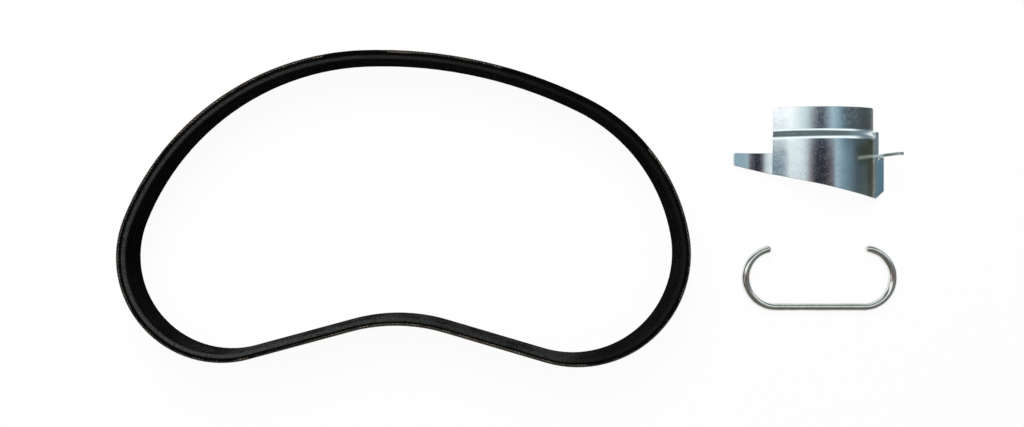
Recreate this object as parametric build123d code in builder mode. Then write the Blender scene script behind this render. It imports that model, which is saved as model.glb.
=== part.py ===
from build123d import *
from math import acos, asin, atan2, cos, degrees, dist, pi, radians, sin, tan
import os

# A ribbed stretch belt lying on its edge, with its pressed fitting tool and its wire clip beside it.
# All three lie on z = 0. +X runs along the set, +Z is up, and the origin is under the set's middle.

# Belt loop, along the belt's back, anticlockwise from the top of the left crown
loop_start_x = -77.61
loop_start_y = 79.25
loop_start_heading = 182.25
left_crown_radius = 133.4
left_crown_turn = 66.3
left_lobe_radius = 52.7
left_lobe_turn = 126.6
dent_radius = 85.5
dent_turn = 31.6
right_lobe_radius = 56.7
right_lobe_turn = 116.5
right_shoulder_turn = 53.8
right_crown_radius = 235.2

# Belt section, from the back inwards
back_thickness = 0.45
cord_diameter = 0.95
cord_clearance = 0.03
cord_pitch = 1.44
cord_edge = 0.1
gum_thickness = 0.7
rib_count = 6
rib_pitch = 3.56
rib_base = 0.25
rib_height = 2.2
rib_angle = 40
groove_flat = 0.5
rib_tip_radius = 0.45

# Fitting tool: a stepped saddle, measured to the middle of the sheet
tool_x = 161.99
tool_y = 39.0
sheet = 1.5
saddle_radius = 54.0
saddle_half_angle = 29.5
joggle_step = 1.2
joggle_radius = 6.0
upper_band_height = 14.1
band_corner_radius = 1.3
ramp_angle = 13.2

# Fitting tool: the tongue on the left, where the belt starts up the ramp
tongue_top = -9.6
tongue_end_height = 6.5
crease_radius = 1.5
tongue_radius = 32.0
tongue_start_tilt = 16.8
tongue_end_tilt = 8.0
tongue_flat = 6.6
tongue_corner_radius = 1.1

# Fitting tool: the narrow flange on the right, and the finger bent up out of it
fold_radius = 1.5
flange_tilt = 10.0
flange_width = 4.7
flange_top = 1.4
flange_rise = 4.0
flange_corner_radius = 0.8
flange_strip = 1.7
slit_width = 0.3
slit_end_radius = 0.4
finger_place = -11.0
finger_radius = 1.7
finger_height = 14.5
finger_corner_radius = 0.6
corner_slack = 0.01

# Wire clip
clip_x = 159.59
clip_y = -35.8
wire_diameter = 4.3
hook_spacing = 46.3
hook_radius = 15.3
left_hook_turn = 172.0
right_hook_turn = 176.0
wire_end_radius = 1.7


def heading_vector(heading):
    return Vector(cos(radians(heading)), sin(radians(heading)))


# Chord of an arc of radius 1 that starts on a heading and turns left, or right where turn is negative
def unit_chord(heading, turn):
    outward = heading - 90 if turn > 0 else heading + 90
    return heading_vector(outward + turn) - heading_vector(outward)


def cross(first, second):
    return first.X * second.Y - first.Y * second.X


# The loop closes on the length of its two equal runs and on the radius of its right shoulder
lobe_heading = loop_start_heading + left_crown_turn
run_in_heading = lobe_heading + left_lobe_turn
run_out_heading = run_in_heading - dent_turn
shoulder_heading = run_out_heading + right_lobe_turn
crown_heading = shoulder_heading + right_shoulder_turn
right_crown_turn = loop_start_heading + 360 - crown_heading
known_chords = (
    left_crown_radius * unit_chord(loop_start_heading, left_crown_turn)
    + left_lobe_radius * unit_chord(lobe_heading, left_lobe_turn)
    + dent_radius * unit_chord(run_in_heading, -dent_turn)
    + right_lobe_radius * unit_chord(run_out_heading, right_lobe_turn)
    + right_crown_radius * unit_chord(crown_heading, right_crown_turn)
)
run_chords = heading_vector(run_in_heading) + heading_vector(run_out_heading)
shoulder_chord = unit_chord(shoulder_heading, right_shoulder_turn)
run_length = cross(shoulder_chord, known_chords) / cross(run_chords, shoulder_chord)
right_shoulder_radius = cross(known_chords, run_chords) / cross(run_chords, shoulder_chord)

left_crown = (left_crown_radius, left_crown_turn)
left_lobe = (left_lobe_radius, left_lobe_turn)
run = (run_length, 0)
dent = (dent_radius, -dent_turn)
right_lobe = (right_lobe_radius, right_lobe_turn)
right_shoulder = (right_shoulder_radius, right_shoulder_turn)
right_crown = (right_crown_radius, right_crown_turn)
loop = [left_crown, left_lobe, run, dent, run, right_lobe, right_shoulder, right_crown]

belt_width = rib_count * rib_pitch
cord_depth = back_thickness + cord_clearance + cord_diameter / 2
gum_depth = cord_depth + cord_diameter / 2 + cord_clearance
rib_depth = gum_depth + gum_thickness


# Start of the loop at a depth below the belt's back
def loop_start(depth):
    return Vector(loop_start_x, loop_start_y) + depth * heading_vector(loop_start_heading + 90)


# End of one stretch of the loop, an arc of a radius or a run of a length with no turn
def stretch_end(start, heading, stretch, depth):
    size, turn = stretch
    if turn == 0:
        return start + size * heading_vector(heading)
    inward = depth if turn > 0 else -depth
    return start + (size - inward) * unit_chord(heading, turn)


def draw_stretch(start, heading, stretch, depth):
    size, turn = stretch
    if turn == 0:
        Line(start, stretch_end(start, heading, stretch, depth))
    else:
        inward = depth if turn > 0 else -depth
        JernArc(start, heading_vector(heading), size - inward, turn)
    return stretch_end(start, heading, stretch, depth)


def draw_loop(depth):
    point = loop_start(depth)
    heading = loop_start_heading
    for stretch in loop:
        point = draw_stretch(point, heading, stretch, depth)
        heading += stretch[1]


# Section plane of the belt at the loop's start: x is depth below the back, y is up
def belt_section(depth):
    inward = heading_vector(loop_start_heading + 90)
    return Plane(loop_start(depth), x_dir=inward, z_dir=heading_vector(loop_start_heading))


os.makedirs("parts", exist_ok=True)

# Belt back: a thin cover round the outside of the loop
with BuildPart() as back_cover:
    with BuildSketch():
        with BuildLine():
            draw_loop(0)
        make_face()
        with BuildLine():
            draw_loop(back_thickness)
        make_face(mode=Mode.SUBTRACT)
    extrude(amount=belt_width)

# Cord gum: the smooth rubber between the cord and the ribs
with BuildPart() as cord_gum:
    with BuildSketch():
        with BuildLine():
            draw_loop(gum_depth)
        make_face()
        with BuildLine():
            draw_loop(rib_depth)
        make_face(mode=Mode.SUBTRACT)
    extrude(amount=belt_width)

# Rib rubber: ribs that run round the inside of the loop
flank = rib_height * tan(radians(rib_angle / 2))
with BuildPart() as rib_rubber:
    with BuildLine() as rib_path:
        draw_loop(rib_depth)
    with BuildSketch(belt_section(rib_depth)):
        rib_points = [(0, 0), (rib_base, 0)]
        for rib in range(rib_count):
            foot = rib * rib_pitch + groove_flat / 2
            far_foot = (rib + 1) * rib_pitch - groove_flat / 2
            rib_points.append((rib_base, foot))
            rib_points.append((rib_base + rib_height, foot + flank))
            rib_points.append((rib_base + rib_height, far_foot - flank))
            rib_points.append((rib_base, far_foot))
        rib_points += [(rib_base, belt_width), (0, belt_width)]
        with BuildLine():
            Polyline(rib_points, close=True)
        make_face()
        fillet(vertices().group_by(Axis.X)[-1], rib_tip_radius)
    sweep(path=rib_path.wire())

# Tension cord: one cord wound through the belt, climbing along the first run, with one level turn on top
cord_low = cord_edge + cord_diameter / 2
cord_turns = int((belt_width - 2 * cord_low) / cord_pitch)
cord_rise = (belt_width - 2 * cord_low) / cord_turns
cord_level = [run, right_lobe, right_shoulder, right_crown, left_crown, left_lobe]
cord_start = loop_start(cord_depth)
cord_heading = loop_start_heading
for stretch in loop[: loop.index(dent) + 1]:
    cord_start = stretch_end(cord_start, cord_heading, stretch, cord_depth)
    cord_heading += stretch[1]


# Two opposite arcs along a run, from one turn up to the next
def draw_climb(start, heading):
    along = heading_vector(heading)
    middle = start + along * run_length / 2 + Vector(0, 0, cord_rise / 2)
    end = start + along * run_length + Vector(0, 0, cord_rise)
    rising = TangentArc(start, middle, tangent=along)
    TangentArc(middle, end, tangent=rising % 1)
    return end


with BuildPart() as tension_cord:
    with BuildLine() as cord_path:
        point = cord_start + Vector(0, 0, cord_low)
        heading = cord_heading
        for turn in range(cord_turns):
            for stretch in cord_level:
                point = draw_stretch(point, heading, stretch, cord_depth)
                heading += stretch[1]
            point = draw_climb(point, heading)
            point = draw_stretch(point, heading, dent, cord_depth)
            heading += dent[1]
        for stretch in cord_level:
            point = draw_stretch(point, heading, stretch, cord_depth)
            heading += stretch[1]
    cord_wire = cord_path.wire()
    with BuildSketch(Plane(cord_wire @ 0, z_dir=cord_wire % 0)):
        Circle(cord_diameter / 2)
    sweep(path=cord_wire)

# Least gap between the cord's turns, on points that stand side by side from turn to turn
samples_per_turn = 160
left_open = run_length + (dent_radius + cord_depth) * radians(dent_turn)
sample_step = (cord_wire.length + left_open) / (cord_turns + 1) / samples_per_turn
cord_points = [
    tuple(cord_wire @ (index * sample_step / cord_wire.length))
    for index in range(int(cord_wire.length / sample_step))
]
least_gap = min(
    dist(point, other)
    for index, point in enumerate(cord_points)
    for other in cord_points[index + samples_per_turn // 2 : index + 3 * samples_per_turn // 2]
) - cord_diameter
cord_section = pi * cord_diameter**2 / 4
print(f"cord turns {cord_turns + 1}, least gap {least_gap:.3f} mm, length {cord_wire.length:.1f} mm")
cord_share = tension_cord.part.volume / cord_section / cord_wire.length
print(f"cord volume over section times length {cord_share:.5f}")

# Fitting tool: its profile across the saddle, x to the right and y up from the saddle's crown
saddle_side = saddle_radius * sin(radians(saddle_half_angle))
saddle_drop = saddle_radius * (1 - cos(radians(saddle_half_angle)))
tongue_root = Vector(-saddle_side, -saddle_drop)
crease_heading = 180 + saddle_half_angle
crease_turn = tongue_start_tilt - saddle_half_angle
crease_end = tongue_root + crease_radius * unit_chord(crease_heading, crease_turn)
tongue_heading = 180 + tongue_start_tilt
tongue_turn = -tongue_start_tilt - tongue_end_tilt
tongue_bend_end = crease_end + tongue_radius * unit_chord(tongue_heading, tongue_turn)
tongue_tip = tongue_bend_end + tongue_flat * heading_vector(tongue_heading + tongue_turn)
flange_root = Vector(saddle_side, -saddle_drop)
fold_turn = saddle_half_angle - flange_tilt
fold_end = flange_root + fold_radius * unit_chord(-saddle_half_angle, fold_turn)
flange_edge = fold_end + flange_width * heading_vector(-flange_tilt)

# The tool rests on the round underside of its tongue and on the lower corner of its flange's edge
flange_foot = flange_edge + sheet / 2 * heading_vector(-flange_tilt - 90)
tongue_centre = crease_end + tongue_radius * heading_vector(tongue_heading - 90)
to_centre = tongue_centre - flange_foot
rest_line = atan2(to_centre.Y, to_centre.X) + asin((tongue_radius + sheet / 2) / to_centre.length)
roll = pi - rest_line
tool_height = -flange_foot.X * sin(roll) - flange_foot.Y * cos(roll)
tool_plane = Plane(
    (tool_x, tool_y, tool_height),
    x_dir=(cos(roll), 0, sin(roll)),
    z_dir=(-sin(roll), 0, cos(roll)),
)
saddle_axis = Axis(tool_plane.from_local_coords((0, 0, -saddle_radius)), tool_plane.y_dir)


# Plane across the saddle's axis at an angle from its crown: x is along the axis, y is outwards
def saddle_section(angle):
    facing = tool_plane.x_dir * cos(radians(angle)) - tool_plane.z_dir * sin(radians(angle))
    return Plane(saddle_axis.position, x_dir=tool_plane.y_dir, z_dir=facing)


# Plane of the tool's profile at a place along the saddle's axis, facing towards -Y
def profile_plane(along):
    origin = tool_plane.from_local_coords((0, along, 0))
    return Plane(origin, x_dir=tool_plane.x_dir, z_dir=-tool_plane.y_dir)


# Place of the ramp's edge along the saddle's axis, above a place on the profile
def ramp_edge(across):
    return tongue_top - tongue_end_height - tan(radians(ramp_angle)) * (across - tongue_tip.X)


# Plane of the flange's sheet: x is away from the saddle, y is along the saddle's axis, z is up
flange_out = tool_plane.x_dir * cos(radians(flange_tilt)) - tool_plane.z_dir * sin(radians(flange_tilt))
flange_up = tool_plane.x_dir * sin(radians(flange_tilt)) + tool_plane.z_dir * cos(radians(flange_tilt))
flange_origin = tool_plane.from_local_coords((fold_end.X, 0, fold_end.Y))
flange_plane = Plane(flange_origin, x_dir=flange_out, z_dir=flange_up)
flange_bottom = ramp_edge(fold_end.X)
finger_bend = finger_place - finger_radius
finger_side = flange_strip + slit_width
finger_origin = flange_plane.from_local_coords((finger_side, 0, 0))
finger_plane = Plane(finger_origin, x_dir=tool_plane.y_dir, z_dir=flange_out)

saddle_bottom = ramp_edge(saddle_side + sheet)
upper_radius = saddle_radius - joggle_step
joggle_turn = degrees(acos(1 - joggle_step / 2 / joggle_radius))
joggle_end = joggle_radius * sin(radians(joggle_turn))

with BuildPart() as fitting_tool:
    # Saddle: an upper band, a joggle and a wider lower band, turned about the saddle's axis
    with BuildSketch(saddle_section(-saddle_half_angle)):
        with BuildLine():
            Line((upper_band_height, upper_radius), (joggle_end, upper_radius))
            rising = JernArc((joggle_end, upper_radius), (-1, 0), joggle_radius, -joggle_turn)
            JernArc(rising @ 1, rising % 1, joggle_radius, joggle_turn)
            Line((-joggle_end, saddle_radius), (saddle_bottom, saddle_radius))
        trace(line_width=sheet)
    revolve(axis=saddle_axis, revolution_arc=2 * saddle_half_angle)
    # Tongue: creased at the saddle, then bent gently to a flat tip
    with BuildSketch(profile_plane(tongue_top)):
        with BuildLine():
            JernArc(tongue_root, heading_vector(crease_heading), crease_radius, crease_turn)
            JernArc(crease_end, heading_vector(tongue_heading), tongue_radius, tongue_turn)
            Line(tongue_bend_end, tongue_tip)
        trace(line_width=sheet)
    extrude(amount=tongue_top - saddle_bottom)
    # Fold between the saddle and the flange
    with BuildSketch(profile_plane(flange_top)):
        with BuildLine():
            JernArc(flange_root, heading_vector(-saddle_half_angle), fold_radius, fold_turn)
        trace(line_width=sheet)
    extrude(amount=flange_top - saddle_bottom)
    # Ramp: one slanting cut along the tongue and the saddle
    with BuildSketch(tool_plane):
        with BuildLine():
            Polyline(
                (tongue_tip.X - sheet, ramp_edge(tongue_tip.X - sheet)),
                (fold_end.X + sheet, ramp_edge(fold_end.X + sheet)),
                (fold_end.X + sheet, saddle_bottom - saddle_side),
                (tongue_tip.X - sheet, saddle_bottom - saddle_side),
                close=True,
            )
        make_face()
    extrude(amount=saddle_radius, both=True, mode=Mode.SUBTRACT)
    # Flange: a narrow strip beside the slit and the full width below it
    with BuildSketch(flange_plane):
        with BuildLine():
            Polyline(
                (0, flange_top),
                (flange_strip, flange_top),
                (flange_strip, finger_bend),
                (flange_width, finger_bend),
                (flange_width, flange_bottom + flange_rise),
                (0, flange_bottom),
                close=True,
            )
        make_face()
    extrude(amount=sheet / 2, both=True)
    # Finger: bent square up out of the flange beside the slit
    with BuildSketch(finger_plane):
        with BuildLine():
            JernArc((finger_bend, 0), (1, 0), finger_radius, 90)
            Line((finger_place, finger_radius), (finger_place, finger_radius + finger_height))
        trace(line_width=sheet)
    extrude(amount=flange_width - finger_side)
    # Round end of the slit
    with BuildSketch(flange_plane):
        with Locations((flange_strip + slit_width / 2, finger_bend)):
            Circle(slit_end_radius)
    extrude(amount=sheet, both=True, mode=Mode.SUBTRACT)
    # Rounded corners, each an edge straight through the sheet
    straight_edges = edges().filter_by(GeomType.LINE)
    corners = straight_edges.filter_by(lambda edge: abs(edge.length - sheet) < corner_slack)
    band_corners = corners.sort_by(Axis.Y)[-2:]
    tongue_corners = corners.sort_by(Axis.X)[:2]
    finger_corners = corners.sort_by(Axis.Z)[-2:]
    flange_corner = corners.filter_by(Axis((0, 0, 0), flange_up)).sort_by(Axis.X)[-1:]
    fillet(band_corners, band_corner_radius)
    fillet(tongue_corners, tongue_corner_radius)
    fillet(finger_corners, finger_corner_radius)
    fillet(flange_corner, flange_corner_radius)

# Wire clip: a straight bar with an open hook at each end, lying flat
left_hook_start = (clip_x - hook_spacing / 2, clip_y - hook_radius)
right_hook_start = (clip_x + hook_spacing / 2, clip_y - hook_radius)
with BuildPart() as wire_clip:
    with BuildLine(Plane.XY.offset(wire_diameter / 2)) as clip_path:
        Line(left_hook_start, right_hook_start)
        JernArc(right_hook_start, (1, 0), hook_radius, right_hook_turn)
        JernArc(left_hook_start, (-1, 0), hook_radius, -left_hook_turn)
    clip_wire = clip_path.wire()
    with BuildSketch(Plane(clip_wire @ 0, z_dir=clip_wire % 0)):
        Circle(wire_diameter / 2)
    sweep(path=clip_wire)
    fillet(faces().filter_by(GeomType.PLANE).edges(), wire_end_radius)

pieces = {
    "back_cover": back_cover,
    "tension_cord": tension_cord,
    "cord_gum": cord_gum,
    "rib_rubber": rib_rubber,
    "fitting_tool": fitting_tool,
    "wire_clip": wire_clip,
}
for name, piece in pieces.items():
    piece.part.label = name
    export_step(piece.part, f"parts/{name}.step")
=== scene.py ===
import bpy
import math
import random
import numpy as np
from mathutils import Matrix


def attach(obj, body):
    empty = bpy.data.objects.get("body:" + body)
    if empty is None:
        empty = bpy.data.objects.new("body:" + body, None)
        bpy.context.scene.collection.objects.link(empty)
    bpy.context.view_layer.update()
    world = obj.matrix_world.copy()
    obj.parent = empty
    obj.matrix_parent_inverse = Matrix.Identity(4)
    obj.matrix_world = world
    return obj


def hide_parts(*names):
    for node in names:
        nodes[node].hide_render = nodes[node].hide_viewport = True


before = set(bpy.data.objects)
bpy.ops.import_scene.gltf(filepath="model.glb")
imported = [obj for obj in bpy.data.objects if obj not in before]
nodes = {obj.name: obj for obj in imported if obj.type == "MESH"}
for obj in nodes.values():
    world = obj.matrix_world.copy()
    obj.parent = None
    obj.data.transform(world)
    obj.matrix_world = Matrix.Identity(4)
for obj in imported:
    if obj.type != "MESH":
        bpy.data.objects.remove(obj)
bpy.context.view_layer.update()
scene = bpy.context.scene
mm = 0.001
print("frame loaded:", ", ".join(sorted(nodes)))


# small helpers for shader trees
def newMaterial(name):
    material = bpy.data.materials.new(name)
    material.use_nodes = True
    tree = material.node_tree
    tree.nodes.clear()
    output = tree.nodes.new("ShaderNodeOutputMaterial")
    shader = tree.nodes.new("ShaderNodeBsdfPrincipled")
    tree.links.new(shader.outputs["BSDF"], output.inputs["Surface"])
    return material, tree, shader


def addNode(tree, kind, values=None, **settings):
    node = tree.nodes.new(kind)
    for key, value in settings.items():
        setattr(node, key, value)
    for key, value in (values or {}).items():
        node.inputs[key].default_value = value
    return node


def stretchedCoords(tree, scale):
    coords = addNode(tree, "ShaderNodeTexCoord")
    mapping = addNode(tree, "ShaderNodeMapping", {"Scale": scale})
    tree.links.new(coords.outputs["Object"], mapping.inputs["Vector"])
    return mapping.outputs["Vector"]


def noise(tree, vector, scale, detail=3.0, rough=0.55):
    node = addNode(tree, "ShaderNodeTexNoise", {"Scale": scale, "Detail": detail, "Roughness": rough})
    tree.links.new(vector, node.inputs["Vector"])
    return node.outputs["Fac"]


def ramp(tree, factor, stops):
    node = addNode(tree, "ShaderNodeValToRGB")
    bands = node.color_ramp.elements
    while len(bands) < len(stops):
        bands.new(0.5)
    for band, (place, colour) in zip(bands, stops):
        band.position = place
        band.color = (*colour, 1.0)
    tree.links.new(factor, node.inputs["Fac"])
    return node.outputs["Color"]


def grey(level):
    return (level, level, level)


def rangeOf(tree, factor, low, high):
    node = addNode(tree, "ShaderNodeMapRange", {"To Min": low, "To Max": high})
    tree.links.new(factor, node.inputs["Value"])
    return node.outputs["Result"]


def combine(tree, first, second, operation="MULTIPLY"):
    node = addNode(tree, "ShaderNodeMath", operation=operation)
    tree.links.new(first, node.inputs[0])
    tree.links.new(second, node.inputs[1])
    return node.outputs[0]


def stepAt(tree, value, low, high):
    # runs from 0 to 1 between low and high, also when low is the larger
    node = addNode(tree, "ShaderNodeMapRange", {"From Min": low, "From Max": high},
                   interpolation_type="SMOOTHSTEP")
    tree.links.new(value, node.inputs["Value"])
    return node.outputs["Result"]


def mixColours(tree, factor, first, second):
    node = addNode(tree, "ShaderNodeMix", data_type="RGBA")
    tree.links.new(factor, node.inputs[0])
    for socket, colour in ((node.inputs[6], first), (node.inputs[7], second)):
        if isinstance(colour, tuple):
            socket.default_value = (*colour, 1.0)
        else:
            tree.links.new(colour, socket)
    return node.outputs[2]


def bump(tree, height, depth, strength, before=None):
    node = addNode(tree, "ShaderNodeBump", {"Strength": strength, "Distance": depth})
    tree.links.new(height, node.inputs["Height"])
    if before is not None:
        tree.links.new(before, node.inputs["Normal"])
    return node.outputs["Normal"]


def paint(node, material):
    node.data.materials.clear()
    node.data.materials.append(material)


def meshObject(name, points, faces, material, smooth=True):
    mesh = bpy.data.meshes.new(name)
    mesh.from_pydata(points, [], faces)
    mesh.polygons.foreach_set("use_smooth", [smooth] * len(mesh.polygons))
    mesh.materials.append(material)
    mesh.validate()
    item = bpy.data.objects.new(name, mesh)
    scene.collection.objects.link(item)
    return item


# the belt's loop, in millimetres as the solids have it
beltLoop = {
    "start": (-77.61, 79.25), "heading": 182.25,
    "leftCrown": (133.4, 66.3), "leftLobe": (52.7, 126.6), "dent": (85.5, -31.6),
    "rightLobe": (56.7, 116.5), "shoulderTurn": 53.8, "rightCrownRadius": 235.2,
    "width": 21.36, "cordDepth": 0.955,
    "ribFoot": 2.41, "ribHeight": 2.2, "ribPitch": 3.56, "ribs": 6, "grooveFlat": 0.5, "flankAngle": 20.0,
}


def compass(heading):
    return np.array([math.cos(math.radians(heading)), math.sin(math.radians(heading))])


def chord(heading, turn):
    outward = heading - 90 if turn > 0 else heading + 90
    return compass(outward + turn) - compass(outward)


def closeLoop(loop):
    # the two runs are equal, and they and the right shoulder close the loop
    heading = loop["heading"]
    total = np.zeros(2)
    for size, turn in (loop["leftCrown"], loop["leftLobe"]):
        total += size * chord(heading, turn)
        heading += turn
    runIn = compass(heading)
    total += loop["dent"][0] * chord(heading, loop["dent"][1])
    heading += loop["dent"][1]
    runs = runIn + compass(heading)
    total += loop["rightLobe"][0] * chord(heading, loop["rightLobe"][1])
    heading += loop["rightLobe"][1]
    shoulder = chord(heading, loop["shoulderTurn"])
    heading += loop["shoulderTurn"]
    crownTurn = loop["heading"] + 360 - heading
    total += loop["rightCrownRadius"] * chord(heading, crownTurn)
    runLength, shoulderRadius = np.linalg.solve(np.array([runs, shoulder]).T, -total)
    run = (runLength, 0.0)
    return [
        loop["leftCrown"], loop["leftLobe"], run, loop["dent"], run, loop["rightLobe"],
        (shoulderRadius, loop["shoulderTurn"]), (loop["rightCrownRadius"], crownTurn),
    ]


stretches = closeLoop(beltLoop)
backLengths = [size if turn == 0 else size * math.radians(abs(turn)) for size, turn in stretches]
backLength = sum(backLengths)


def loopStarts(depth):
    heading = beltLoop["heading"]
    place = np.array(beltLoop["start"]) + depth * compass(heading + 90)
    starts = []
    for size, turn in stretches:
        starts.append((place, heading))
        inward = depth if turn > 0 else -depth
        step = size * compass(heading) if turn == 0 else (size - inward) * chord(heading, turn)
        place = place + step
        heading += turn
    return starts


def loopSpot(along, depth):
    # a place and a heading on the loop, by distance along the belt's back
    along = along % backLength
    index = 0
    while along > backLengths[index] and index < len(stretches) - 1:
        along -= backLengths[index]
        index += 1
    place, heading = startsAt(depth)[index]
    size, turn = stretches[index]
    if turn == 0:
        return place + along * compass(heading), heading
    inward = depth if turn > 0 else -depth
    part = turn * along / backLengths[index]
    return place + (size - inward) * chord(heading, part), heading + part


knownStarts = {}


def startsAt(depth):
    if depth not in knownStarts:
        knownStarts[depth] = loopStarts(depth)
    return knownStarts[depth]


print(f"belt loop closed: {backLength:.1f} mm round the back")

# tension cord: plied yarn wound through the belt, a turn at a time
yarnCord = {
    "turns": 14, "low": 0.575, "radius": 0.475, "plies": 3, "layLength": 5.4, "groove": 0.2,
    "sides": 12, "fineStep": 0.4, "coarseStep": 1.1, "fineTail": 40,
    "tones": [
        (0.12, (0.034, 0.026, 0.022)), (0.2, (0.12, 0.095, 0.08)),
        (0.28, (0.23, 0.19, 0.163)), (0.4, (0.36, 0.305, 0.268)),
    ],
    "grooveFill": (0.004, 0.003, 0.003), "clearCrest": (0.3, 0.75),
    "rough": 0.85, "sheen": 0.1, "specular": 0.2, "hairBump": (0.00006, 0.7),
}


def yarnMaterial():
    material, tree, shader = newMaterial("plied_yarn")
    strand = noise(tree, stretchedCoords(tree, (1, 1, 1)), 2600.0, 4.0, 0.7)
    blotch = noise(tree, stretchedCoords(tree, (1, 1, 1)), 210.0, 3.0)
    colour = ramp(tree, combine(tree, strand, blotch), yarnCord["tones"])
    # rubber fills the grooves between the plies
    crest = addNode(tree, "ShaderNodeAttribute", attribute_name="crest")
    low, high = yarnCord["clearCrest"]
    clear = ramp(tree, crest.outputs["Fac"], [(low, grey(0.0)), (high, grey(1.0))])
    tree.links.new(mixColours(tree, clear, yarnCord["grooveFill"], colour), shader.inputs["Base Color"])
    tree.links.new(bump(tree, strand, *yarnCord["hairBump"]), shader.inputs["Normal"])
    shader.inputs["Roughness"].default_value = yarnCord["rough"]
    shader.inputs["Sheen Weight"].default_value = yarnCord["sheen"]
    shader.inputs["Specular IOR Level"].default_value = yarnCord["specular"]
    return material


def woundPath(cord):
    # order of a turn: out along the second run, round the loop, up along the first run, through the dent
    # the last turn stays level and ends where the first run starts
    firstRun = sum(backLengths[:2])
    afterDent = sum(backLengths[:4])
    rise = (beltLoop["width"] - 2 * cord["low"]) / cord["turns"]
    total = (cord["turns"] + 1) * backLength - backLengths[2] - backLengths[3]
    fine = np.arange(0.0, backLength, cord["fineStep"])
    fineAgain = (cord["turns"] - 1) * backLength - cord["fineTail"]
    coarse = np.arange(backLength, fineAgain, cord["coarseStep"])
    last = np.arange(fineAgain, total, cord["fineStep"])
    alongs = np.concatenate([fine, coarse, last])
    rows = []
    for along in alongs:
        turn, inTurn = divmod(along, backLength)
        place, heading = loopSpot(inTurn + afterDent, beltLoop["cordDepth"])
        climbed = (inTurn - (backLength - afterDent + firstRun)) / backLengths[2]
        climbed = min(max(climbed, 0.0), 1.0)
        eased = 2 * climbed ** 2 if climbed < 0.5 else 1 - 2 * (1 - climbed) ** 2
        rows.append((place[0], place[1], cord["low"] + rise * (turn + eased), heading, along))
    return np.array(rows)


def plyTube(path, cord):
    sides = cord["sides"]
    angles = np.arange(sides) * 2 * math.pi / sides
    turns = path[:, 4:5] * 2 * math.pi / cord["layLength"]
    lobes = 1 - cord["groove"] * (1 - np.cos(cord["plies"] * (angles[None, :] - turns)))
    headings = np.radians(path[:, 3:4] + 90)
    across = cord["radius"] * lobes * np.cos(angles)[None, :]
    upward = cord["radius"] * lobes * np.sin(angles)[None, :]
    x = path[:, 0:1] + across * np.cos(headings)
    y = path[:, 1:2] + across * np.sin(headings)
    z = path[:, 2:3] + upward
    points = np.stack([x, y, z], 2).reshape(-1, 3) * mm
    ring = np.arange(len(path) - 1)[:, None] * sides
    here = np.arange(sides)[None, :]
    after = (here + 1) % sides
    faces = np.stack([ring + here, ring + after, ring + sides + after, ring + sides + here], 2)
    faces = faces.reshape(-1, 4)
    lastRing = (len(path) - 1) * sides
    ends = [list(range(sides - 1, -1, -1)), list(range(lastRing, lastRing + sides))]
    crests = (lobes - lobes.min()) / (lobes.max() - lobes.min())
    return points.tolist(), faces.tolist() + ends, crests.ravel()


yarnPoints, yarnFaces, yarnCrests = plyTube(woundPath(yarnCord), yarnCord)
yarn = meshObject("plied_cord", yarnPoints, yarnFaces, yarnMaterial())
yarn.data.attributes.new("crest", "FLOAT", "POINT").data.foreach_set("value", yarnCrests)
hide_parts("tension_cord")
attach(yarn, "belt")
print("tension cord wound:", len(yarnFaces), "faces")

# rubber of the belt
rubberLook = {
    "back": (0.006, 0.02), "backDust": (0.032, 0.031, 0.03), "gum": (0.0015, 0.004), "rib": (0.0015, 0.005),
    "fleck": 0.012, "dustAndPaintedLight": (0.0015, 0.03), "flankHighlight": (0.016, 0.066), "yarnEnds": (0.058, 0.045, 0.036),
    "specular": 0.015, "backRough": (0.55, 0.8), "gumRough": (0.6, 0.85), "ribRough": (0.72, 0.95),
    # depth in metres and strength of each bump
    "weaveBump": (0.00012, 0.55), "knotBump": (0.00008, 0.5), "smearBump": (0.00005, 0.5),
    "grainBump": (0.00005, 0.6), "fibreBump": (0.00004, 0.5),
    # where the painted light with dust on the dent and the painted highlight on the flanks lie, in metres,
    # and the share of that highlight from right to left
    "dentTop": (-0.036, -0.05), "dentLeft": (-0.18, -0.14), "dentRight": (0.05, 0.01),
    "highlightLeft": (0.06, -0.17), "highlightShare": (0.12, 1.0),
    # in millimetres from the cut edges
    "flankIn": (1.0, 0.72), "flankOut": (0.1, 0.22), "yarnEndRow": (0.12, 0.03),
}


def fromEdge(inwards):
    # heights from the middle of the belt's width, by how far they lie inside its cut edges
    return [(beltLoop["width"] / 2 - distance) * mm for distance in inwards]


def nearEdges(tree):
    # height away from the middle of the belt's width
    coords = addNode(tree, "ShaderNodeTexCoord")
    parts = addNode(tree, "ShaderNodeSeparateXYZ")
    tree.links.new(coords.outputs["Object"], parts.inputs["Vector"])
    middle = beltLoop["width"] * mm / 2
    offset = addNode(tree, "ShaderNodeMath", operation="SUBTRACT")
    offset.inputs[1].default_value = middle
    away = addNode(tree, "ShaderNodeMath", operation="ABSOLUTE")
    tree.links.new(parts.outputs["Z"], offset.inputs[0])
    tree.links.new(offset.outputs[0], away.inputs[0])
    return away.outputs[0], parts


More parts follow.
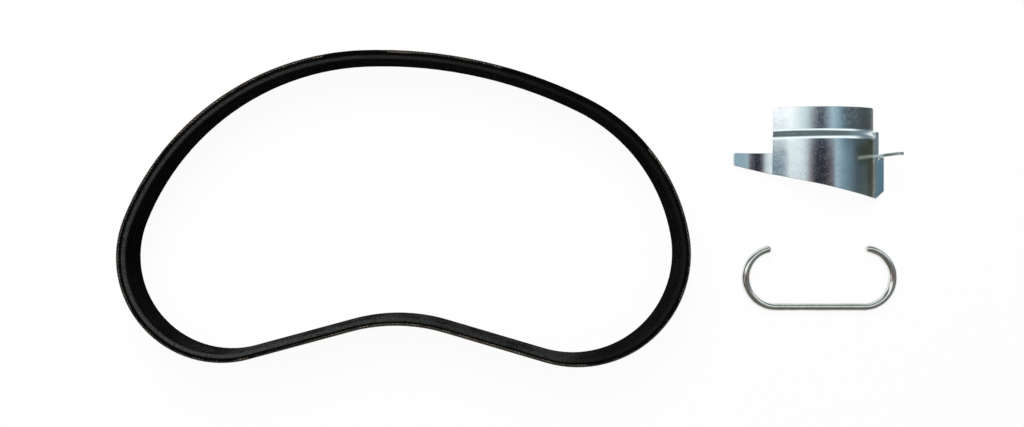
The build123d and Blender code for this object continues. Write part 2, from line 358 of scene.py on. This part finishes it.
def backMaterial():
    # woven cover pressed into rubber: rows along the belt, broken up by the yarn's own wander
    material, tree, shader = newMaterial("fabric_back")
    flat = stretchedCoords(tree, (1, 1, 1))
    weave = {"Scale": 420.0, "Distortion": 3.0, "Detail": 2.0, "Detail Scale": 2.4}
    rows = addNode(tree, "ShaderNodeTexWave", weave, wave_type="BANDS", bands_direction="Z")
    tree.links.new(flat, rows.inputs["Vector"])
    knots = addNode(tree, "ShaderNodeTexVoronoi", {"Scale": 1500.0})
    tree.links.new(flat, knots.inputs["Vector"])
    dustAndPaintedLight = noise(tree, flat, 160.0, 5.0, 0.65)
    low, high = rubberLook["back"]
    cover = ramp(tree, dustAndPaintedLight, [(0.3, grey(low)), (0.62, grey(high)), (0.8, rubberLook["backDust"])])
    away, _ = nearEdges(tree)
    cut = stepAt(tree, away, *fromEdge(rubberLook["yarnEndRow"]))
    tree.links.new(mixColours(tree, cut, cover, rubberLook["yarnEnds"]), shader.inputs["Base Color"])
    tree.links.new(rangeOf(tree, dustAndPaintedLight, *rubberLook["backRough"]), shader.inputs["Roughness"])
    woven = bump(tree, rows.outputs["Fac"], *rubberLook["weaveBump"])
    knotted = bump(tree, knots.outputs["Distance"], *rubberLook["knotBump"], woven)
    tree.links.new(knotted, shader.inputs["Normal"])
    return material


def gumMaterial():
    material, tree, shader = newMaterial("cord_gum_rubber")
    flat = stretchedCoords(tree, (1, 1, 1))
    smear = noise(tree, flat, 420.0, 4.0)
    low, high = rubberLook["gum"]
    tree.links.new(ramp(tree, smear, [(0.35, grey(low)), (0.75, grey(high))]), shader.inputs["Base Color"])
    tree.links.new(rangeOf(tree, smear, *rubberLook["gumRough"]), shader.inputs["Roughness"])
    tree.links.new(bump(tree, smear, *rubberLook["smearBump"]), shader.inputs["Normal"])
    shader.inputs["Specular IOR Level"].default_value = rubberLook["specular"]
    return material


def ribMaterial():
    # ground rubber: dark matrix mottled by bloom, short fibres lying across the belt, painted light with dust
    # along the dent, and a grey painted highlight on the flanks
    material, tree, shader = newMaterial("ground_rib_rubber")
    fibres = noise(tree, stretchedCoords(tree, (1, 1, 0.22)), 2400.0, 2.0, 0.6)
    bloom = noise(tree, stretchedCoords(tree, (1, 1, 1)), 75.0, 5.0, 0.6)
    grain = noise(tree, stretchedCoords(tree, (1, 1, 1)), 1500.0, 3.0, 0.6)
    low, high = rubberLook["rib"]
    rubber = ramp(tree, bloom, [(0.3, grey(low)), (0.7, grey(high))])
    flecks = ramp(tree, fibres, [(0.62, grey(0.0)), (0.72, grey(1.0))])
    fibred = mixColours(tree, flecks, rubber, grey(rubberLook["fleck"]))
    away, parts = nearEdges(tree)
    x, y = parts.outputs["X"], parts.outputs["Y"]
    # painted light with some dust: paler grey patches along the dent, where light falls on the inner face
    low, high = rubberLook["dustAndPaintedLight"]
    dustAndLightTone = ramp(tree, combine(tree, bloom, grain), [(0.16, grey(low)), (0.36, grey(high))])
    lowerRuns = stepAt(tree, y, *rubberLook["dentTop"])
    dentLeft = stepAt(tree, x, *rubberLook["dentLeft"])
    dentRight = stepAt(tree, x, *rubberLook["dentRight"])
    dent = combine(tree, lowerRuns, combine(tree, dentLeft, dentRight))
    withDentLight = mixColours(tree, dent, fibred, dustAndLightTone)
    # painted highlight: the flank beside each cut edge is painted paler, as if lit, most of all at the left
    # lobe
    flankIn = stepAt(tree, away, *fromEdge(rubberLook["flankIn"]))
    flankOut = stepAt(tree, away, *fromEdge(rubberLook["flankOut"]))
    leftward = rangeOf(tree, stepAt(tree, x, *rubberLook["highlightLeft"]), *rubberLook["highlightShare"])
    low, high = rubberLook["flankHighlight"]
    flankHighlightTone = ramp(tree, grain, [(0.35, grey(low)), (0.66, grey(high))])
    highlit = combine(tree, combine(tree, flankIn, flankOut), leftward)
    tree.links.new(mixColours(tree, highlit, withDentLight, flankHighlightTone), shader.inputs["Base Color"])
    tree.links.new(rangeOf(tree, grain, *rubberLook["ribRough"]), shader.inputs["Roughness"])
    rough = bump(tree, grain, *rubberLook["grainBump"])
    tree.links.new(bump(tree, fibres, *rubberLook["fibreBump"], rough), shader.inputs["Normal"])
    shader.inputs["Specular IOR Level"].default_value = rubberLook["specular"]
    return material


paint(nodes["back_cover"], backMaterial())
paint(nodes["cord_gum"], gumMaterial())
paint(nodes["rib_rubber"], ribMaterial())
print("belt rubber painted")

# skin of rubber left over the cord where the belt was cut
cutSkin = {
    # from, to and outer depth of each stretch, along the belt's back
    "stretches": (
        (-14.0, 20.0, 0.02), (20.0, 266.0, 1.02), (444.0, 586.0, 0.98),
        (586.0, 674.0, 0.02), (674.0, 721.0, 1.0),
    ),
    "inner": 1.52, "top": 0.03, "under": -0.13, "step": 0.6, "ragged": 0.09, "wanderKept": 0.86,
    "taper": 5.0, "taperPower": 0.6, "endWidth": 0.14, "leastWidth": 0.1, "leastDepth": 0.02, "lip": 0.06,
    "seed": 5,
}


def skinPatches(skin):
    points, faces = [], []
    draw = random.Random(skin["seed"])
    for begin, end, outermost in skin["stretches"]:
        count = int((end - begin) / skin["step"])
        base = len(points)
        wander = 0.0
        for k in range(count + 1):
            share = k / count
            taper = min(1.0, min(share, 1 - share) * (end - begin) / skin["taper"]) ** skin["taperPower"]
            wander = skin["wanderKept"] * wander + draw.uniform(-1, 1) * skin["ragged"]
            inner = skin["inner"]
            narrow = inner - skin["endWidth"]
            outer = narrow - (narrow - outermost) * taper
            outer = min(max(outer + wander * taper, skin["leastDepth"]), inner - skin["leastWidth"])
            lip = min(skin["lip"], (inner - outer) / 3)
            along = begin + share * (end - begin)
            outline = (
                (outer, 0.0), (outer + lip, skin["top"]), (inner - lip, skin["top"]),
                (inner, 0.0), (inner - lip, skin["under"]), (outer + lip, skin["under"]),
            )
            for depth, height in outline:
                place, _ = loopSpot(along, depth)
                points.append((place[0] * mm, place[1] * mm, (beltLoop["width"] + height) * mm))
        sides = len(outline)
        for k in range(count):
            for side in range(sides):
                a = base + k * sides + side
                b = base + k * sides + (side + 1) % sides
                faces.append((a, b, b + sides, a + sides))
        faces.append(tuple(base + side for side in range(sides - 1, -1, -1)))
        faces.append(tuple(base + count * sides + side for side in range(sides)))
    return points, faces


skinPoints, skinFaces = skinPatches(cutSkin)
skin = meshObject("cut_edge_skin", skinPoints, skinFaces, gumMaterial())
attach(skin, "belt")
print("cut edge skin:", len(skinFaces), "faces")

# fibre ends that stand out of the ground ribs
ribFibres = {
    "count": 7000, "length": (0.35, 0.9), "thick": (0.018, 0.032), "lift": 0.06, "sunk": 0.4,
    "upFlanks": 0.62, "reach": (0.08, 0.9), "lean": 1.2, "seed": 11,
    "level": (0.006, 0.03), "warmth": (1.0, 0.98, 0.94), "rough": 0.7,
}


def fibreMaterial():
    material, tree, shader = newMaterial("fibre_ends")
    tint = noise(tree, stretchedCoords(tree, (1, 1, 1)), 900.0, 2.0)
    low, high = ribFibres["level"]
    warm = tuple(high * part for part in ribFibres["warmth"])
    tree.links.new(ramp(tree, tint, [(0.35, grey(low)), (0.65, warm)]), shader.inputs["Base Color"])
    shader.inputs["Roughness"].default_value = ribFibres["rough"]
    return material


def fibreSlivers(fibres):
    draw = random.Random(fibres["seed"])
    slope = math.tan(math.radians(beltLoop["flankAngle"]))
    # thirds of a turn, in radians
    thirds = (0, 2.094, 4.189)
    points, faces = [], []
    for _ in range(fibres["count"]):
        along = draw.uniform(0, backLength)
        rib = draw.randrange(beltLoop["ribs"])
        up = draw.random() < fibres["upFlanks"]
        share = draw.uniform(*fibres["reach"])
        depth = beltLoop["ribFoot"] + share * beltLoop["ribHeight"]
        foot = beltLoop["grooveFlat"] / 2 + share * beltLoop["ribHeight"] * slope
        height = (rib + 1) * beltLoop["ribPitch"] - foot if up else rib * beltLoop["ribPitch"] + foot
        place, heading = loopSpot(along, depth)
        inward, onward = compass(heading + 90), compass(heading)
        face = 1 if up else -1
        lean = draw.uniform(-fibres["lean"], fibres["lean"])
        flatRun = inward * math.cos(lean) + onward * math.sin(lean)
        run = np.array([*flatRun, -face * slope * math.cos(lean)])
        out = np.array([*(inward * slope), face])
        out /= np.linalg.norm(out)
        side = np.cross(run, out)
        side /= np.linalg.norm(side)
        length = draw.uniform(*fibres["length"]) / 2
        thick = draw.uniform(*fibres["thick"])
        middle = np.array([place[0], place[1], height]) + out * thick * fibres["sunk"]
        rise = draw.uniform(0.0, fibres["lift"])
        base = len(points)
        for end, lift in ((-1, 0.0), (1, rise)):
            for corner in thirds:
                outward = out * (lift + thick * math.cos(corner))
                spot = middle + run * length * end + outward + side * thick * math.sin(corner)
                points.append(tuple(spot * mm))
        prism = ((0, 1, 4, 3), (1, 2, 5, 4), (2, 0, 3, 5), (2, 1, 0), (3, 4, 5))
        faces += [tuple(base + corner for corner in corners) for corners in prism]
    return points, faces


fibrePoints, fibreFaces = fibreSlivers(ribFibres)
fibreEnds = meshObject("rib_fibre_ends", fibrePoints, fibreFaces, fibreMaterial(), smooth=False)
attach(fibreEnds, "belt")
print("rib fibres:", ribFibres["count"])

# plated sheet of the fitting tool
zincSheet = {
    "pale": (0.84, 0.89, 0.9), "deep": (0.74, 0.82, 0.85), "bluedAndShaded": (0.54, 0.75, 0.81),
    "paintedOlive": (0.52, 0.56, 0.46), "rough": (0.05, 0.12), "worn": 0.07, "edge": 0.00035,
    "grainScale": 1900.0, "grainFade": (0.15, 0.42), "grainPatches": (0.36, 0.56),
    # depth in metres and strength of each bump
    "rolledBump": (0.000012, 0.25), "grainBump": (0.00003, 0.27),
    # where the plating changes, in metres
    "wornFrom": (0.166, 0.184), "foldFrom": (0.182, 0.185), "foldTo": (0.1876, 0.1862),
    "foldTop": (0.0375, 0.0352),
    "fingerFrom": (0.174, 0.18), "fingerLow": (0.021, 0.0262), "fingerHigh": (0.0362, 0.0315),
    "flangeFrom": (0.187, 0.1916), "flangeTop": (0.0275, 0.022), "flangeHeight": (0.0075, 0.005),
}


def zincMaterial():
    material, tree, shader = newMaterial("zinc_plate")
    flat = stretchedCoords(tree, (1, 1, 1))
    cells = addNode(tree, "ShaderNodeTexVoronoi", {"Scale": zincSheet["grainScale"], "Randomness": 1.0})
    tree.links.new(flat, cells.inputs["Vector"])
    cloud = noise(tree, flat, 120.0, 5.0, 0.62)
    speck = noise(tree, flat, 2100.0, 2.0, 0.5)
    rolled = noise(tree, stretchedCoords(tree, (1.0, 0.04, 1.0)), 1700.0, 3.0, 0.6)
    plate = ramp(tree, cloud, [(0.32, zincSheet["deep"]), (0.66, zincSheet["pale"])])
    parts = addNode(tree, "ShaderNodeSeparateXYZ")
    tree.links.new(flat, parts.inputs["Vector"])
    x, y, z = (parts.outputs[axis] for axis in "XYZ")

    def zone(axis, name):
        return stepAt(tree, axis, *zincSheet[name])

    # painted shade and reflection: the plating is painted dark olive along the fold, for its shade, and
    # beside the finger, for the finger's dark reflection
    fold = combine(tree, zone(x, "foldFrom"), zone(y, "foldTop"))
    finger = combine(tree, zone(y, "fingerLow"), zone(y, "fingerHigh"))
    byFinger = combine(tree, zone(x, "fingerFrom"), finger)
    paintedShadeAndReflection = combine(tree, combine(tree, fold, byFinger, "MAXIMUM"), zone(x, "foldTo"))
    saddle = mixColours(tree, paintedShadeAndReflection, plate, zincSheet["paintedOlive"])
    # and tinted blue towards the flange's outer edge: partly blue passivation, partly painted shade deepening
    # towards the flange's curve
    flange = combine(tree, zone(x, "flangeFrom"), zone(y, "flangeTop"))
    bluedAndShaded = combine(tree, flange, zone(z, "flangeHeight"))
    tree.links.new(mixColours(tree, bluedAndShaded, saddle, zincSheet["bluedAndShaded"]), shader.inputs["Base Color"])
    shader.inputs["Metallic"].default_value = 1.0
    worn = rangeOf(tree, zone(x, "wornFrom"), 0.0, zincSheet["worn"])
    dull = combine(tree, rangeOf(tree, speck, *zincSheet["rough"]), worn, "ADD")
    tree.links.new(dull, shader.inputs["Roughness"])
    rounded = addNode(tree, "ShaderNodeBevel", {"Radius": zincSheet["edge"]}, samples=6)
    fine = bump(tree, rolled, *zincSheet["rolledBump"], rounded.outputs["Normal"])
    # small round grains in patches
    full, gone = zincSheet["grainFade"]
    grains = ramp(tree, cells.outputs["Distance"], [(full, grey(1.0)), (gone, grey(0.0))])
    patches = stepAt(tree, noise(tree, flat, 800.0, 1.0, 0.5), *zincSheet["grainPatches"])
    scattered = combine(tree, grains, patches)
    tree.links.new(bump(tree, scattered, *zincSheet["grainBump"], fine), shader.inputs["Normal"])
    return material


paint(nodes["fitting_tool"], zincMaterial())
print("fitting tool plated")

# bright drawn wire of the clip
clipWire = {
    "pale": (0.86, 0.87, 0.85), "deep": (0.66, 0.66, 0.63), "rough": (0.1, 0.24), "speckBump": (0.00002, 0.2),
}


def wireMaterial():
    material, tree, shader = newMaterial("bright_wire")
    flat = stretchedCoords(tree, (1, 1, 1))
    cloud = noise(tree, flat, 190.0, 4.0, 0.6)
    speck = noise(tree, flat, 2600.0, 2.0, 0.5)
    drawn = ramp(tree, cloud, [(0.3, clipWire["deep"]), (0.62, clipWire["pale"])])
    tree.links.new(drawn, shader.inputs["Base Color"])
    shader.inputs["Metallic"].default_value = 1.0
    tree.links.new(rangeOf(tree, speck, *clipWire["rough"]), shader.inputs["Roughness"])
    tree.links.new(bump(tree, speck, *clipWire["speckBump"]), shader.inputs["Normal"])
    return material


paint(nodes["wire_clip"], wireMaterial())
print("wire clip plated")

# studio: white table with a low backdrop, one soft panel, and a sky of pale and dark bands
studio = {
    "worldStrength": 1.0, "keyPower": 13.0, "keyPlace": (-0.25, 0.8, 0.8), "keySize": 0.6,
    "tableWhite": 0.94, "tableGlow": 0.95, "tableHalf": 8.0, "tableTop": -0.0002, "backdrop": 0.6,
}


def buildTable():
    material = bpy.data.materials.new("white_table")
    material.use_nodes = True
    tree = material.node_tree
    tree.nodes.clear()
    output = addNode(tree, "ShaderNodeOutputMaterial")
    matt = addNode(tree, "ShaderNodeBsdfDiffuse", {"Color": (*grey(studio["tableWhite"]), 1.0)})
    glow = addNode(tree, "ShaderNodeEmission", {"Color": (1, 1, 1, 1), "Strength": 1.0})
    rays = addNode(tree, "ShaderNodeLightPath")
    seen = combine(tree, rays.outputs["Is Camera Ray"], rays.outputs["Is Glossy Ray"], "MAXIMUM")
    seen = combine(tree, seen, rays.outputs["Is Transmission Ray"], "MAXIMUM")
    mixed = addNode(tree, "ShaderNodeMixShader")
    tree.links.new(rangeOf(tree, seen, 0.0, studio["tableGlow"]), mixed.inputs["Fac"])
    tree.links.new(matt.outputs[0], mixed.inputs[1])
    tree.links.new(glow.outputs[0], mixed.inputs[2])
    tree.links.new(mixed.outputs[0], output.inputs["Surface"])
    # the far edges turn up into a low white backdrop
    half, top = studio["tableHalf"], studio["tableTop"]
    corners = [(-half, -half), (half, -half), (half, half), (-half, half)]
    points = [(x, y, z) for z in (top, studio["backdrop"]) for x, y in corners]
    walls = [(k, (k + 1) % 4, (k + 1) % 4 + 4, k + 4) for k in range(4)]
    table = meshObject("white_table", points, [(0, 1, 2, 3), *walls], material, smooth=False)


# colours of the sky by degrees: across the set from left to right, and from near to far
studioSky = {
    "overSaddle": [
        (-84, (0.25, 0.28, 0.3)), (-60, (0.12, 0.16, 0.2)), (-36, (0.16, 0.24, 0.31)),
        (-27, (0.19, 0.26, 0.32)), (-23, (0.42, 0.5, 0.53)), (-19, (0.84, 0.9, 0.9)),
        (-7, (0.84, 0.9, 0.93)), (-1, (0.6, 0.66, 0.7)), (3, (0.24, 0.2, 0.22)),
        (8, (0.03, 0.028, 0.04)), (18, (0.02, 0.02, 0.032)), (23, (0.08, 0.055, 0.065)),
        (28, (0.16, 0.13, 0.15)), (32, (0.42, 0.55, 0.62)), (40, (0.24, 0.34, 0.41)),
        (49, (0.15, 0.23, 0.285)), (58, (0.06, 0.09, 0.105)), (84, (0.05, 0.055, 0.04)),
    ],
    "overStep": [
        (-84, (0.6, 0.65, 0.67)), (-40, (1.2, 1.2, 1.2)), (-18, (1.2, 1.19, 1.18)),
        (-8, (0.84, 0.91, 0.93)), (1, (0.55, 0.66, 0.7)), (6, (0.28, 0.31, 0.35)),
        (13, (0.07, 0.085, 0.12)), (18, (0.09, 0.11, 0.14)), (23, (0.24, 0.3, 0.36)),
        (28, (0.43, 0.56, 0.64)), (36, (0.22, 0.34, 0.41)), (44, (0.07, 0.105, 0.125)),
        (52, (0.035, 0.05, 0.055)), (84, (0.05, 0.06, 0.05)),
    ],
    "overClip": [
        (-84, (0.8, 0.86, 0.84)), (-62, (0.75, 0.8, 0.78)), (-50, (0.45, 0.46, 0.42)),
        (-34, (0.2, 0.1, 0.095)), (-10, (0.12, 0.055, 0.055)), (8, (0.09, 0.05, 0.05)),
        (22, (0.3, 0.28, 0.26)), (34, (0.14, 0.13, 0.12)), (60, (0.16, 0.16, 0.16)),
        (84, (0.3, 0.3, 0.3)),
    ],
    "nearToFar": [
        (-84, (0.25, 0.24, 0.22)), (-40, (0.11, 0.11, 0.09)), (-14, (0.16, 0.16, 0.14)),
        (8, (1.15, 1.2, 1.19)), (20, (1.15, 1.2, 1.19)), (30, (0.14, 0.18, 0.18)),
        (50, (0.13, 0.16, 0.16)), (58, (0.7, 0.76, 0.76)), (84, (0.7, 0.75, 0.75)),
    ],
    "ends": [(-15, grey(1)), (-8, grey(0)), (8.8, grey(0)), (11, grey(1))],
    "clipToSaddle": (0.0, 1.4), "saddleToStep": (5.0, 5.7), "dimFrom": (54, 70), "dim": (0.2, 0.26, 0.3),
}


def buildWorld():
    world = bpy.data.worlds.new("soft_studio")
    scene.world = world
    world.use_nodes = True
    tree = world.node_tree
    tree.nodes.clear()
    output = addNode(tree, "ShaderNodeOutputWorld")
    background = addNode(tree, "ShaderNodeBackground", {"Strength": studio["worldStrength"]})
    coords = addNode(tree, "ShaderNodeTexCoord")
    parts = addNode(tree, "ShaderNodeSeparateXYZ")
    tree.links.new(coords.outputs["Generated"], parts.inputs["Vector"])
    sideways = combine(tree, parts.outputs["X"], parts.outputs["Z"], "ARCTAN2")
    place = addNode(tree, "ShaderNodeMapRange", {"From Min": -math.pi / 2, "From Max": math.pi / 2})
    tree.links.new(sideways, place.inputs["Value"])
    lean = addNode(tree, "ShaderNodeMapRange", {"From Min": -1.0, "From Max": 1.0})
    tree.links.new(parts.outputs["Y"], lean.inputs["Value"])
    across, leaning = place.outputs["Result"], lean.outputs["Result"]

    def at(degrees):
        return (degrees + 90) / 180

    def rising(degrees):
        return (math.sin(math.radians(degrees)) + 1) / 2

    def bands(name, factor, spot):
        return ramp(tree, factor, [(spot(degrees), colour) for degrees, colour in studioSky[name]])

    def step(name, factor, spot):
        return stepAt(tree, factor, *(spot(degrees) for degrees in studioSky[name]))

    overSaddle, overStep = bands("overSaddle", across, at), bands("overStep", across, at)
    overTool = mixColours(tree, step("saddleToStep", leaning, rising), overSaddle, overStep)
    overClip = bands("overClip", across, at)
    overSet = mixColours(tree, step("clipToSaddle", leaning, rising), overClip, overTool)
    nearToFar = bands("nearToFar", leaning, rising)
    farEnd = mixColours(tree, step("dimFrom", across, at), nearToFar, studioSky["dim"])
    endShare = bands("ends", leaning, rising)
    tree.links.new(mixColours(tree, endShare, overSet, farEnd), background.inputs["Color"])
    tree.links.new(background.outputs[0], output.inputs["Surface"])


def buildKey():
    lamp = bpy.data.lights.new("key_panel", "AREA")
    lamp.energy = studio["keyPower"]
    lamp.size = studio["keySize"]
    panel = bpy.data.objects.new("key_panel", lamp)
    panel.location = studio["keyPlace"]
    scene.collection.objects.link(panel)
    aim = -np.array(studio["keyPlace"])
    tilt = math.atan2(math.hypot(aim[0], aim[1]), -aim[2])
    panel.rotation_euler = (tilt, 0, math.atan2(aim[1], aim[0]) - math.pi / 2)
    panel.visible_glossy = False


# the camera looks straight down; its axis meets the picture left of the middle and a little below it
downCamera = {
    "place": (-0.02561, -0.00795, 0.44), "axisPixel": (465.0, 224.5), "focalPixels": 837.3,
    "picture": (1024, 427), "sensor": 36.0, "clipStart": 0.01,
}


def buildCamera():
    lens = bpy.data.cameras.new("table_camera")
    wide, tall = downCamera["picture"]
    lens.sensor_width = downCamera["sensor"]
    lens.lens = downCamera["focalPixels"] * downCamera["sensor"] / wide
    lens.shift_x = (wide / 2 - downCamera["axisPixel"][0]) / wide
    lens.shift_y = (downCamera["axisPixel"][1] - tall / 2) / wide
    lens.clip_start = downCamera["clipStart"]
    camera = bpy.data.objects.new("table_camera", lens)
    camera.location = downCamera["place"]
    scene.collection.objects.link(camera)
    scene.camera = camera


buildTable()
buildWorld()
buildKey()
buildCamera()
scene.view_settings.view_transform = "Standard"
print("studio built")
